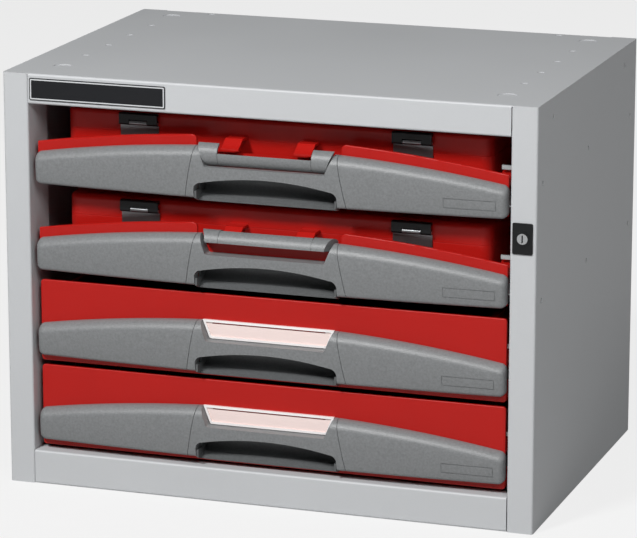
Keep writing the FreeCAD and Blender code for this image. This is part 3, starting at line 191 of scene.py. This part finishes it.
def add(tree, kind, settings=None, links=None):
    """One shader or geometry node, with its settings and the sockets that feed it."""
    item = tree.nodes.new(kind)
    for key, value in (settings or {}).items():
        if key in item.inputs.keys() or isinstance(key, int):
            item.inputs[key].default_value = value
        else:
            setattr(item, key, value)
    for key, socket in (links or {}).items():
        tree.links.new(socket, item.inputs[key])
    return item


def new_finish(name):
    """A material with only its output, and its tree."""
    finish = bpy.data.materials.new(name)
    finish.use_nodes = True
    finish.node_tree.nodes.clear()
    return finish, finish.node_tree


def blend_colours(tree, factor, dark, light):
    """Two shades of a colour, blended by a pattern."""
    mix = add(tree, "ShaderNodeMix", {"data_type": "RGBA"}, {"Factor": factor})
    mix.inputs[MIX_FIRST].default_value = (*dark, 1)
    mix.inputs[MIX_SECOND].default_value = (*light, 1)
    return mix.outputs[MIX_RESULT]


def rough_with(tree, height, strength, depth):
    """A bump that follows a height pattern; depth is in metres."""
    return add(tree, "ShaderNodeBump", {"Strength": strength, "Distance": depth},
               {"Height": height}).outputs["Normal"]


def close_finish(tree, settings, links):
    """End a material's tree with its surface."""
    surface = add(tree, "ShaderNodeBsdfPrincipled", settings, links)
    add(tree, "ShaderNodeOutputMaterial", links={"Surface": surface.outputs["BSDF"]})


def shade(colour, amount):
    """The same colour, darker below 1 and lighter above it."""
    return tuple(min(1.0, channel * amount) for channel in colour)


def spread(tree, socket, low, high):
    """A pattern's value, stretched to run from low to high."""
    return add(tree, "ShaderNodeMapRange", {"From Min": 0.3, "From Max": 0.7, "To Min": low, "To Max": high},
               {"Value": socket}).outputs["Result"]


def powder_coat(scene):
    """Polyester powder coat on steel, cured in an oven: an even satin skin with a fine orange peel."""
    powder, grain = scene.cabinet_colours.powder, scene.cabinet_grain
    finish, tree = new_finish("powder_coated_steel")
    place = add(tree, "ShaderNodeTexCoord").outputs["Object"]
    cloud = add(tree, "ShaderNodeTexNoise", {"Scale": CLOUDS_PER_METRE, "Detail": 3.0},
                {"Vector": place}).outputs["Fac"]
    peel = add(tree, "ShaderNodeTexNoise", {"Scale": 1 / grain.peel, "Detail": 2.0}, {"Vector": place})
    close_finish(tree, {"IOR": 1.5}, {
        "Base Color": blend_colours(tree, cloud, shade(powder, 0.96), shade(powder, 1.03)),
        "Roughness": spread(tree, cloud, 0.44, 0.48),
        "Normal": rough_with(tree, peel.outputs["Fac"], 0.18, 0.4 * MM),
    })
    return finish


def grained_grip(scene, name, colour):
    """Polypropylene, moulded against an etched tool: fine leather grain, satin with a broad sheen."""
    leather = scene.cabinet_grain.leather
    finish, tree = new_finish(name)
    place = add(tree, "ShaderNodeTexCoord").outputs["Object"]
    cloud = add(tree, "ShaderNodeTexNoise", {"Scale": 0.6 / leather, "Detail": 8.0, "Roughness": 0.65},
                {"Vector": place}).outputs["Fac"]
    cells = add(tree, "ShaderNodeTexVoronoi", {"Scale": 1 / leather}, {"Vector": place})
    fine = add(tree, "ShaderNodeTexNoise", {"Scale": 2.4 / leather, "Detail": 2.0}, {"Vector": place})
    height = add(tree, "ShaderNodeMath", {"operation": "ADD"},
                 {0: cells.outputs["Distance"], 1: fine.outputs["Fac"]}).outputs["Value"]
    close_finish(tree, {"IOR": 1.49}, {
        "Base Color": blend_colours(tree, spread(tree, cloud, 0, 1),
                                    shade(colour, 0.84), shade(colour, 1.14)),
        "Roughness": spread(tree, cloud, 0.34, 0.46),
        "Normal": rough_with(tree, height, 0.4, 0.25 * MM),
    })
    return finish


def moulded_plastic(scene, name, colour, rough):
    """ABS from a polished tool: clean colour, half gloss, with faint broad flow marks."""
    finish, tree = new_finish(name)
    place = add(tree, "ShaderNodeTexCoord").outputs["Object"]
    flow = add(tree, "ShaderNodeTexNoise",
               {"Scale": 1 / scene.cabinet_grain.flow, "Detail": 3.0, "Distortion": 0.6},
               {"Vector": place}).outputs["Fac"]
    skin = add(tree, "ShaderNodeTexNoise", {"Scale": SKIN_RIPPLES_PER_METRE, "Detail": 1.0},
               {"Vector": place})
    close_finish(tree, {"IOR": 1.53, "Specular IOR Level": 0.28}, {
        "Base Color": blend_colours(tree, flow, shade(colour, 0.95), shade(colour, 1.04)),
        "Roughness": spread(tree, flow, rough, rough + 0.03),
        "Normal": rough_with(tree, skin.outputs["Fac"], 0.1, 0.2 * MM),
    })
    return finish


def zinc_steel(scene, name, colour):
    """Cold rolled steel with a clear zinc plating: bright, faintly mottled, with fine rolling lines."""
    finish, tree = new_finish(name)
    place = add(tree, "ShaderNodeTexCoord").outputs["Object"]
    drawn_out = add(tree, "ShaderNodeMapping", {"Scale": (1.0, 0.04, 1.0)}, {"Vector": place})
    lines = add(tree, "ShaderNodeTexNoise", {"Scale": 1 / scene.cabinet_grain.brush, "Detail": 2.0},
                {"Vector": drawn_out.outputs["Vector"]}).outputs["Fac"]
    mottle = add(tree, "ShaderNodeTexVoronoi", {"Scale": SPANGLES_PER_METRE}, {"Vector": place})
    close_finish(tree, {"Metallic": 1.0}, {
        "Base Color": blend_colours(tree, mottle.outputs["Distance"], shade(colour, 0.86), colour),
        "Roughness": spread(tree, lines, 0.3, 0.46),
        "Normal": rough_with(tree, lines, 0.12, 0.1 * MM),
    })
    return finish


def painted_reflection_window(scene):
    """Clear polystyrene window with a polished face, coloured pale pink near white and nearly opaque as a
    painted reflection of a white lamp: what lies behind only tints it.
    """
    finish, tree = new_finish("clear_polystyrene")
    place = add(tree, "ShaderNodeTexCoord").outputs["Object"]
    haze = add(tree, "ShaderNodeTexNoise", {"Scale": HAZE_PER_METRE, "Detail": 2.0},
               {"Vector": place}).outputs["Fac"]
    # The near-white base colour and the alpha of 0.9 are a painted reflection of a white lamp on the clear
    # window; the red behind shows only faintly.
    close_finish(tree, {"IOR": 1.59, "Alpha": 0.9, "Base Color": (*scene.cabinet_colours.window, 1)}, {
        "Roughness": spread(tree, haze, 0.08, 0.16),
        "Normal": rough_with(tree, haze, 0.05, 0.2 * MM),
    })
    return finish


def finish_of(scene, name):
    """The named finish, made once."""
    colours = scene.cabinet_colours
    found = bpy.data.materials.get(name)
    if found:
        return found
    makers = {
        "powder_coated_steel": lambda: powder_coat(scene),
        "zinc_plated_steel": lambda: zinc_steel(scene, name, colours.zinc),
        # A darker copy of the zinc finish: painted shade on the clasps' brackets.
        "dark_plated_steel": lambda: zinc_steel(scene, name, colours.shaded_clasp_steel),
        "clear_polystyrene": lambda: painted_reflection_window(scene),
        "grained_grip": lambda: grained_grip(scene, name, colours.grip),
        "grained_pocket": lambda: grained_grip(scene, name, colours.pocket),
        "red_moulding": lambda: moulded_plastic(scene, name, colours.red, 0.36),
        "black_moulding": lambda: moulded_plastic(scene, name, colours.black, 0.34),
        "label_field": lambda: moulded_plastic(scene, name, colours.label, 0.38),
        "label_line": lambda: moulded_plastic(scene, name, colours.rim, 0.45),
        "window_border": lambda: moulded_plastic(scene, name, colours.border, 0.3),
    }
    return makers[name]()


def dress(scene, node, name):
    """Give a CAD node its finish."""
    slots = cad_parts[node].data.materials
    slots.clear()
    slots.append(finish_of(scene, name))


def mesh_piece(name, build):
    """An object at the origin whose mesh is built in place."""
    mesh = bpy.data.meshes.new(name)
    shape = bmesh.new()
    build(shape)
    bmesh.ops.recalc_face_normals(shape, faces=shape.faces)
    shape.to_mesh(mesh)
    shape.free()
    if not mesh.polygons:
        raise RuntimeError(name + " came out without faces")
    piece = bpy.data.objects.new(name, mesh)
    bpy.context.scene.collection.objects.link(piece)
    return piece


class CABINET_OT_panels(bpy.types.Operator):
    """Powder coat the folded sheets"""
    bl_idname = "cabinet.panels"
    bl_label = "Panels"

    def execute(self, context):
        for node in PANELS:
            dress(context.scene, node, "powder_coated_steel")
        return {"FINISHED"}


class CABINET_OT_steel_parts(bpy.types.Operator):
    """Plate the runners, rivets, guides and screws"""
    bl_idname = "cabinet.steel_parts"
    bl_label = "Steel parts"

    def execute(self, context):
        nodes = ["left_runners", "right_runners", "back_rivets", "lock_bar_guides"]
        nodes += [unit + "_front_screws" for unit in UNITS]
        for case in CASES:
            nodes += [case + end for end in ("_lid_hinge_pins", "_clasp_pins")]
            # The brackets take the darker copy of the zinc: painted shade, as they sit in shadow.
            dress(context.scene, case + "_clasp_brackets", "dark_plated_steel")
        for node in nodes:
            dress(context.scene, node, "zinc_plated_steel")
        return {"FINISHED"}


class CABINET_OT_lock(bpy.types.Operator):
    """Finish the lock and its bar"""
    bl_idname = "cabinet.lock"
    bl_label = "Lock"

    def execute(self, context):
        dress(context.scene, "lock_plate", "black_moulding")
        for node in ("lock_plug", "lock_nut", "lock_cam", "lock_bar"):
            dress(context.scene, node, "zinc_plated_steel")
        return {"FINISHED"}


def arc_height(x, half, rise):
    """Height of an arc over its ends, at a distance from the middle."""
    radius = (half * half + rise * rise) / (2 * rise)
    return math.sqrt(radius * radius - x * x) - (radius - rise)


def crowned(scene, unit, part):
    """A front moulding with its face crowned from top to bottom, cut fine enough to curve."""
    details = scene.cabinet_details
    low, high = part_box(unit + "_handle_frame")
    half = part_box(unit + "_right_grip")[1].x
    depth = high.y - low.y

    def build(shape):
        shape.from_mesh(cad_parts[unit + part].data)
        for step in range(1, CROWN_CUTS):
            level = low.z + (high.z - low.z) * step / CROWN_CUTS
            everything = shape.verts[:] + shape.edges[:] + shape.faces[:]
            bmesh.ops.bisect_plane(shape, geom=everything, plane_no=(0, 0, 1), plane_co=(0, 0, level))
        for vert in shape.verts:
            x, y, z = vert.co
            top = high.z - GRIP_CROWN + arc_height(x, half, GRIP_CROWN)
            foot = low.z + GRIP_BELLY - arc_height(x, half, GRIP_BELLY)
            share = (z - foot) / (top - foot) - details.crest
            if share < 0:
                lean = details.lean_low * (share / details.crest) ** 2
            else:
                lean = details.lean_high * (share / (1 - details.crest)) ** 2
            vert.co.y = y + lean * max(0.0, high.y - y) / depth

    piece = mesh_piece(unit + part + "_moulding", build)
    piece.data.shade_smooth()
    piece.data.set_sharp_from_angle(angle=SHARP_ANGLE)
    piece.data.materials.append(finish_of(scene, "grained_grip"))
    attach(piece, unit)
    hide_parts(unit + part)


class CABINET_OT_handles(bpy.types.Operator):
    """Crown the grips and handle frames, and finish them and the finger pockets"""
    bl_idname = "cabinet.handles"
    bl_label = "Handle fronts"

    def execute(self, context):
        for unit in UNITS:
            for part in ("_left_grip", "_right_grip", "_handle_frame"):
                crowned(context.scene, unit, part)
            dress(context.scene, unit + "_handle_pocket", "grained_pocket")
        return {"FINISHED"}


class CABINET_OT_cases(bpy.types.Operator):
    """Finish the carrying cases"""
    bl_idname = "cabinet.cases"
    bl_label = "Cases"

    def execute(self, context):
        for case in CASES:
            for part in ("_body", "_lid", "_front_carrier"):
                dress(context.scene, case + part, "red_moulding")
            for part in ("_left_clasp", "_right_clasp"):
                dress(context.scene, case + part, "black_moulding")
            dress(context.scene, case + "_latch_flap", "grained_grip")
        return {"FINISHED"}


def window_border(scene, drawer):
    """White edge on the front of a label window's rim."""
    window = drawer + "_label_window"
    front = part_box(window)[0].y

    def build(shape):
        shape.from_mesh(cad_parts[window].data)
        spare = [face for face in shape.faces
                 if any(abs(vert.co.y - front) > SLACK for vert in face.verts)]
        bmesh.ops.delete(shape, geom=spare, context="FACES")
        raised = bmesh.ops.extrude_face_region(shape, geom=shape.faces[:])["geom"]
        for item in raised:
            if isinstance(item, bmesh.types.BMVert):
                item.co.y -= scene.cabinet_details.rim_height

    border = mesh_piece(drawer + "_window_border", build)
    border.data.materials.append(finish_of(scene, "window_border"))
    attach(border, drawer)


class CABINET_OT_drawers(bpy.types.Operator):
    """Finish the drawers and their label windows, with a white edge round each window"""
    bl_idname = "cabinet.drawers"
    bl_label = "Drawers"

    def execute(self, context):
        for drawer in DRAWERS:
            for part in ("_tray", "_front"):
                dress(context.scene, drawer + part, "red_moulding")
            dress(context.scene, drawer + "_label_window", "clear_polystyrene")
            window_border(context.scene, drawer)
        return {"FINISHED"}


def rounded_loop(shape, low, high, inset, y):
    """Points round the label plate, at a distance inside its edge."""
    corner = LABEL_CORNER - inset / 2
    edge = inset + corner
    points = []
    centres = ((high.x - edge, high.z - edge), (low.x + edge, high.z - edge),
               (low.x + edge, low.z + edge), (high.x - edge, low.z + edge))
    for quarter, (centre_x, centre_z) in enumerate(centres):
        for step in range(CORNER_STEPS + 1):
            angle = math.radians(90 * (quarter + step / CORNER_STEPS))
            points.append(shape.verts.new((centre_x + corner * math.cos(angle), y,
                                           centre_z + corner * math.sin(angle))))
    return points


def label_rim(scene):
    """Pale raised line round the label plate."""
    details = scene.cabinet_details
    low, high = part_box("label_plate")
    raised = low.y - details.rim_height
    outer, inner = details.rim_inset, details.rim_inset + details.rim_width

    def build(shape):
        rings = [rounded_loop(shape, low, high, inset, y)
                 for inset, y in ((outer, low.y), (outer, raised), (inner, raised), (inner, low.y))]
        for near, far in zip(rings, rings[1:] + rings[:1]):
            for index in range(len(near)):
                after = (index + 1) % len(near)
                shape.faces.new((near[index], near[after], far[after], far[index]))

    rim = mesh_piece("label_rim", build)
    rim.data.materials.append(finish_of(scene, "label_line"))
    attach(rim, "cabinet")


class CABINET_OT_label(bpy.types.Operator):
    """Finish the blank label plate and draw the pale line round it"""
    bl_idname = "cabinet.label"
    bl_label = "Label plate"

    def execute(self, context):
        dress(context.scene, "label_plate", "label_field")
        label_rim(context.scene)
        return {"FINISHED"}


def weld_tree(finish):
    """Geometry nodes: low domes at every point of the mesh that they are given."""
    tree = bpy.data.node_groups.new("spot_weld_marks", "GeometryNodeTree")
    for name, kind in (("Geometry", "NodeSocketGeometry"), ("Radius", "NodeSocketFloat"),
                       ("Height", "NodeSocketFloat")):
        tree.interface.new_socket(name, in_out="INPUT", socket_type=kind)
    tree.interface.new_socket("Geometry", in_out="OUTPUT", socket_type="NodeSocketGeometry")
    given = add(tree, "NodeGroupInput")
    size = add(tree, "ShaderNodeCombineXYZ",
               links={"X": given.outputs["Height"],
                      "Y": given.outputs["Radius"], "Z": given.outputs["Radius"]})
    dome = add(tree, "GeometryNodeMeshUVSphere",
               {"Segments": DOME_SEGMENTS, "Rings": DOME_RINGS, "Radius": 1.0})
    marks = add(tree, "GeometryNodeInstanceOnPoints",
                links={"Points": given.outputs["Geometry"], "Instance": dome.outputs["Mesh"],
                       "Scale": size.outputs["Vector"]})
    real = add(tree, "GeometryNodeRealizeInstances", links={"Geometry": marks.outputs["Instances"]})
    painted = add(tree, "GeometryNodeSetMaterial", links={"Geometry": real.outputs["Geometry"]})
    painted.inputs["Material"].default_value = finish
    add(tree, "NodeGroupOutput", links={"Geometry": painted.outputs["Geometry"]})
    return tree


def weld_marks(scene, name, places, tree):
    """Weld marks at the given places, turned into a plain mesh that stays with the cabinet."""
    inputs = {item.name: item.identifier for item in tree.interface.items_tree if item.in_out == "INPUT"}
    seeds = bpy.data.meshes.new(name + "_seeds")
    seeds.from_pydata(places, [], [])
    carrier = bpy.data.objects.new(name + "_seeds", seeds)
    scene.collection.objects.link(carrier)
    maker = carrier.modifiers.new("marks", "NODES")
    maker.node_group = tree
    maker[inputs["Radius"]] = scene.cabinet_details.weld_radius
    maker[inputs["Height"]] = scene.cabinet_details.weld_height
    bpy.context.view_layer.update()
    evaluated = carrier.evaluated_get(bpy.context.evaluated_depsgraph_get())
    mesh = bpy.data.meshes.new_from_object(evaluated)
    mesh.name = name
    bpy.data.objects.remove(carrier)
    if not mesh.polygons:
        raise RuntimeError(name + " came out without faces")
    piece = bpy.data.objects.new(name, mesh)
    scene.collection.objects.link(piece)
    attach(piece, "cabinet")


class CABINET_OT_weld_marks(bpy.types.Operator):
    """Mark the spot welds that hold the runners to the side walls"""
    bl_idname = "cabinet.weld_marks"
    bl_label = "Spot welds"

    def execute(self, context):
        scene = context.scene
        count = scene.cabinet_details.weld_count
        low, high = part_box("right_runners")
        level_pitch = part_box("case_1_handle_frame")[0].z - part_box("case_2_handle_frame")[0].z
        flange_face = high.x - RUNNER_SHEET
        welds = [(low.y + (step + 0.5) / count * (high.y - low.y),
                  low.z + WELD_LINE + level_pitch * level)
                 for level in range(len(UNITS)) for step in range(count)]
        tree = weld_tree(finish_of(scene, "zinc_plated_steel"))
        for name, side in (("left_weld_marks", -1), ("right_weld_marks", 1)):
            weld_marks(scene, name, [(side * flange_face, y, z) for y, z in welds], tree)
        return {"FINISHED"}


def paper_floor():
    """Matt white paper: it takes shadows, and glows a little for the camera so that it stays pale."""
    finish, tree = new_finish("white_paper")
    place = add(tree, "ShaderNodeTexCoord").outputs["Object"]
    fibre = add(tree, "ShaderNodeTexNoise", {"Scale": FIBRES_PER_METRE, "Detail": 2.0}, {"Vector": place})
    grey = blend_colours(tree, fibre.outputs["Fac"], linear(FLOOR_DARK), linear(FLOOR_LIGHT))
    paper = add(tree, "ShaderNodeBsdfPrincipled", {"Roughness": 0.9}, {"Base Color": grey})
    glow = add(tree, "ShaderNodeEmission", {"Strength": 1.0})
    rays = add(tree, "ShaderNodeLightPath")
    pale = add(tree, "ShaderNodeMath", {"operation": "MULTIPLY", 1: FLOOR_GLOW},
               {0: rays.outputs["Is Camera Ray"]})
    both = add(tree, "ShaderNodeMixShader",
               links={0: pale.outputs["Value"], 1: paper.outputs["BSDF"], 2: glow.outputs["Emission"]})
    add(tree, "ShaderNodeOutputMaterial", links={"Surface": both.outputs["Shader"]})

    def build(shape):
        shape.faces.new([shape.verts.new((FLOOR_HALF * x, FLOOR_HALF * y, 0))
                         for x, y in ((-1, -1), (1, -1), (1, 1), (-1, 1))])

    floor = mesh_piece("floor", build)
    floor.data.materials.append(finish)


def room(scene):
    """Faint even light from all around, and white where the camera looks past the floor."""
    world = bpy.data.worlds.new("room")
    world.use_nodes = True
    tree = world.node_tree
    tree.nodes.clear()
    rays = add(tree, "ShaderNodeLightPath")
    seen = add(tree, "ShaderNodeMath", {"operation": "MAXIMUM"},
               {0: rays.outputs["Is Camera Ray"], 1: rays.outputs["Is Transmission Ray"]})
    faint = add(tree, "ShaderNodeBackground",
                {"Color": (1, 1, 1, 1), "Strength": scene.cabinet_studio.fill})
    white = add(tree, "ShaderNodeBackground", {"Color": (1, 1, 1, 1), "Strength": 1.0})
    both = add(tree, "ShaderNodeMixShader",
               links={0: seen.outputs["Value"],
                      1: faint.outputs["Background"], 2: white.outputs["Background"]})
    add(tree, "ShaderNodeOutputWorld", links={"Surface": both.outputs["Shader"]})
    scene.world = world


def soft_lamp(scene, name):
    """A square lamp that looks at the cabinet from its place in LAMPS."""
    place = LAMPS[name]
    lamp = bpy.data.lights.new(name, "AREA")
    lamp.shape = "SQUARE"
    lamp.size = place["width"]
    lamp.energy = getattr(scene.cabinet_studio, name)
    holder = bpy.data.objects.new(name, lamp)
    aside, up = math.radians(place["azimuth"]), math.radians(place["elevation"])
    away = Vector((math.sin(aside) * math.cos(up), -math.cos(aside) * math.cos(up), math.sin(up)))
    holder.location = Vector(LAMP_AIM) + place["distance"] * away
    holder.rotation_euler = away.to_track_quat("Z", "Y").to_euler()
    scene.collection.objects.link(holder)


class CABINET_OT_stage(bpy.types.Operator):
    """Pale floor, even room light and three soft lamps"""
    bl_idname = "cabinet.stage"
    bl_label = "Studio"

    def execute(self, context):
        scene = context.scene
        scene.view_settings.view_transform = "Standard"
        paper_floor()
        room(scene)
        for name in LAMPS:
            soft_lamp(scene, name)
        return {"FINISHED"}


class CABINET_OT_camera(bpy.types.Operator):
    """Set the camera where the photograph was taken"""
    bl_idname = "cabinet.camera"
    bl_label = "Camera"

    def execute(self, context):
        studio = context.scene.cabinet_studio
        lens = bpy.data.cameras.new("camera")
        lens.sensor_width = SENSOR_WIDTH
        lens.lens = studio.lens
        lens.clip_end = CLIP_END
        camera = bpy.data.objects.new("camera", lens)
        camera.location = CAMERA_PLACE
        camera.rotation_euler = (math.pi / 2 - studio.elevation, 0, studio.azimuth)
        context.scene.collection.objects.link(camera)
        context.scene.camera = camera
        return {"FINISHED"}


OPERATORS = [
    CABINET_OT_camera,
    CABINET_OT_panels,
    CABINET_OT_steel_parts,
    CABINET_OT_lock,
    CABINET_OT_handles,
    CABINET_OT_cases,
    CABINET_OT_drawers,
    CABINET_OT_label,
    CABINET_OT_weld_marks,
    CABINET_OT_stage,
]

GROUPS = {
    "cabinet_colours": CabinetColours,
    "cabinet_grain": CabinetGrain,
    "cabinet_details": CabinetDetails,
    "cabinet_studio": CabinetStudio,
}


class CABINET_PT_finish(bpy.types.Panel):
    """Lists the steps that finish the cabinet"""
    bl_idname = "CABINET_PT_finish"
    bl_label = "Tool Cabinet"
    bl_space_type = "VIEW_3D"
    bl_region_type = "UI"
    bl_category = "Tool Cabinet"

    def draw(self, context):
        for place, kind in GROUPS.items():
            column = self.layout.column(align=True)
            for name in kind.__annotations__:
                column.prop(getattr(context.scene, place), name)
        for operator in OPERATORS:
            self.layout.operator(operator.bl_idname)


def register():
    for item in [*GROUPS.values(), *OPERATORS, CABINET_PT_finish]:
        bpy.utils.register_class(item)
    for name, group in GROUPS.items():
        setattr(bpy.types.Scene, name, PointerProperty(type=group))


def unregister():
    for name in GROUPS:
        delattr(bpy.types.Scene, name)
    for item in reversed([*GROUPS.values(), *OPERATORS, CABINET_PT_finish]):
        bpy.utils.unregister_class(item)


def main():
    register()
    for operator in OPERATORS:
        area, name = operator.bl_idname.split(".")
        getattr(getattr(bpy.ops, area), name)()


if __name__ == "__main__":
    main()
